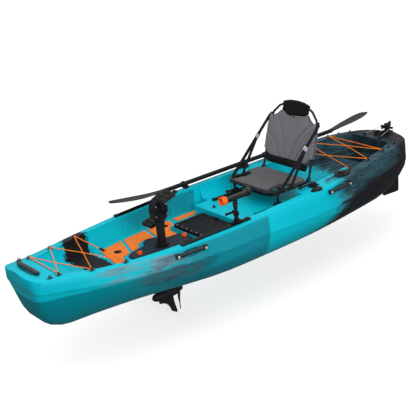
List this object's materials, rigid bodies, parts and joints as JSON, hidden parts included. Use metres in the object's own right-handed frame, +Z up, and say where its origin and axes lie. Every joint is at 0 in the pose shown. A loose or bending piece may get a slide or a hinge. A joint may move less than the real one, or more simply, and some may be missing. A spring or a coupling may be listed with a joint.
{
  "type": "pedal-drive fishing kayak",
  "caption": "Sit-on-top pedal kayak with footwell, hatch, propeller drive, framed mesh seat on rails, spade rudder, gear tracks, laced wells and a stowed paddle.",
  "frame": {"origin": "on the flat of the keel, amidships on the centre line", "axes": "+X towards the bow, +Y to port, +Z up"},
  "size_m": [3.3684, 0.9213, 1.1318],
  "materials": {
    "hull": "moulded polyethylene with a fine satin grain and marbled darker colours",
    "pads": "closed-cell foam sheet, matt",
    "black_plastic": "moulded nylon, satin",
    "orange_plastic": "moulded nylon, semi-gloss",
    "navy_plastic": "moulded plastic with a fine texture",
    "cord": "woven sheath over elastic",
    "steel": "brushed stainless steel",
    "mesh_fabric": "coarse woven mesh, taut",
    "black_fabric": "woven webbing and padded cloth",
    "black_tube": "powder-coated aluminium tube",
    "paddle_black": "smooth moulded plastic and composite tube"
  },
  "bodies": {
    "hull": {"hull_shell": "hull", "deck_pads": "pads", "scupper_plugs": "black_plastic", "gear_tracks": "black_plastic", "track_end_fittings": "black_plastic", "carry_handles": "black_plastic", "handle_screws": "steel", "bow_handle": "black_plastic", "pad_eyes": "black_plastic", "front_bungee": "cord", "stern_bungee": "cord", "bungee_hook": "black_plastic", "rod_holder_tubes": "black_plastic", "tube_caps": "black_plastic", "seat_rails": "black_plastic", "rudder_bracket": "black_plastic", "cable_grommets": "black_plastic", "rudder_cables": "steel", "paddle_shaft": "paddle_black", "paddle_blades": "paddle_black", "paddle_clips": "black_plastic", "hatch_coaming": "black_plastic", "hatch_hinge_pin": "steel", "drive_plate": "navy_plastic", "drive_column": "black_plastic", "gearbox_port": "black_plastic", "gearbox_starboard": "black_plastic", "gearbox_screws": "steel", "lower_unit": "black_plastic", "skeg": "black_plastic", "steering_pod": "black_plastic"},
    "hatch_lid": {"hatch_lid": "black_plastic"},
    "hatch_latch": {"hatch_latch": "black_plastic"},
    "front_knob": {"front_knob": "orange_plastic"},
    "rear_knob": {"rear_knob": "orange_plastic"},
    "cranks": {"crank_axle": "steel", "crank_arms": "black_plastic", "pedal_pins": "steel"},
    "pedal_port": {"pedal_port": "black_plastic"},
    "pedal_starboard": {"pedal_starboard": "black_plastic"},
    "propeller": {"propeller": "black_plastic"},
    "seat_base": {"seat_base_frame": "black_tube", "seat_clamps": "black_plastic", "seat_pan": "mesh_fabric", "sling_straps": "black_fabric", "seat_pivot_bolts": "steel", "seat_straps": "black_fabric"},
    "seat_back": {"seat_back_frame": "black_tube", "seat_back_panel": "mesh_fabric", "seat_head_pad": "black_fabric"},
    "rudder": {"rudder_post": "steel", "rudder_blade": "black_plastic", "rudder_tiller": "black_plastic"},
    "steering_lever": {"steering_lever": "black_plastic"},
    "track_base": {"track_base": "black_plastic"},
    "tilt_neck": {"tilt_neck": "black_plastic"},
    "holder_arm": {"holder_arm": "black_plastic"},
    "tilt_lever": {"tilt_lever": "black_plastic"},
    "rod_cradle": {"rod_cradle": "black_plastic"},
    "cradle_collar": {"cradle_collar": "orange_plastic"}
  },
  "joints": [
    {"name": "hatch_hinge", "type": "hinge", "parent": "hull", "child": "hatch_lid", "pos_m": [0.354, 0, 0.2316], "axis": [0, 1, 0], "range_deg": [0, 86]},
    {"name": "latch_turn", "type": "hinge", "parent": "hatch_lid", "child": "hatch_latch", "pos_m": [0.121, 0, 0.2389], "axis": [0, 0, 1], "range_deg": [0, 90]},
    {"name": "front_knob_turn", "type": "hinge", "parent": "hull", "child": "front_knob", "pos_m": [0.74364, 0, 0.2103], "axis": [0, 0, 1], "range_deg": [0, 90]},
    {"name": "rear_knob_turn", "type": "hinge", "parent": "hull", "child": "rear_knob", "pos_m": [0.391, 0, 0.2103], "axis": [0, 0, 1], "range_deg": [0, 90]},
    {"name": "crank_spin", "type": "hinge", "parent": "hull", "child": "cranks", "pos_m": [0.569, 0, 0.452], "axis": [0, 1, 0], "continuous": true},
    {"name": "pedal_port_spin", "type": "hinge", "parent": "cranks", "child": "pedal_port", "pos_m": [0.59018, 0.065, 0.57215], "axis": [0, 1, 0], "continuous": true},
    {"name": "pedal_starboard_spin", "type": "hinge", "parent": "cranks", "child": "pedal_starboard", "pos_m": [0.54782, -0.065, 0.33185], "axis": [0, 1, 0], "continuous": true},
    {"name": "propeller_spin", "type": "hinge", "parent": "hull", "child": "propeller", "pos_m": [0.482, 0, -0.127], "axis": [1, 0, 0], "continuous": true},
    {"name": "seat_slide", "type": "slide", "parent": "hull", "child": "seat_base", "axis": [1, 0, 0], "range_m": [-0.06, 0.06]},
    {"name": "seat_back_fold", "type": "hinge", "parent": "seat_base", "child": "seat_back", "pos_m": [-0.519, 0, 0.368], "axis": [0, 1, 0], "range_deg": [0, 70], "deforming": ["seat_straps"]},
    {"name": "steering_lever_swing", "type": "hinge", "parent": "hull", "child": "steering_lever", "pos_m": [-0.485, 0.296, 0.35478], "axis": [0, 0, 1], "range_deg": [-25, 25]},
    {"name": "rudder_steer", "type": "hinge", "parent": "hull", "child": "rudder", "pos_m": [-1.573, 0, 0], "axis": [0, 0, 1], "range_deg": [-35, 35], "deforming": ["rudder_cables"]},
    {"name": "track_base_slide", "type": "slide", "parent": "hull", "child": "track_base", "axis": [0.9989, -0.0442, -0.0123], "range_m": [-0.03, 0.34]},
    {"name": "holder_swivel", "type": "hinge", "parent": "track_base", "child": "tilt_neck", "pos_m": [0.25104, 0.36519, 0.35663], "axis": [0.0123, -0.0005, 0.9999], "range_deg": [-90, 90]},
    {"name": "holder_tilt", "type": "hinge", "parent": "tilt_neck", "child": "holder_arm", "pos_m": [0.25185, 0.36515, 0.42263], "axis": [0.0442, 0.999, 0], "range_deg": [-45, 45]},
    {"name": "tilt_lever_turn", "type": "hinge", "parent": "tilt_neck", "child": "tilt_lever", "pos_m": [0.25185, 0.36515, 0.42263], "axis": [0.0442, 0.999, 0], "range_deg": [-75, 0]},
    {"name": "cradle_turn", "type": "hinge", "parent": "holder_arm", "child": "rod_cradle", "pos_m": [0.25314, 0.36509, 0.52762], "axis": [0.0123, -0.0005, 0.9999], "range_deg": [-90, 90]},
    {"name": "collar_twist", "type": "hinge", "parent": "rod_cradle", "child": "cradle_collar", "pos_m": [0.25314, 0.36509, 0.52762], "axis": [0.9989, -0.0442, -0.0123], "range_deg": [0, 60]}
  ],
  "couplings": [
    {"joint": "propeller_spin", "follows": "crank_spin", "ratio": 8},
    {"joint": "rudder_steer", "follows": "steering_lever_swing", "ratio": 1.4}
  ]
}
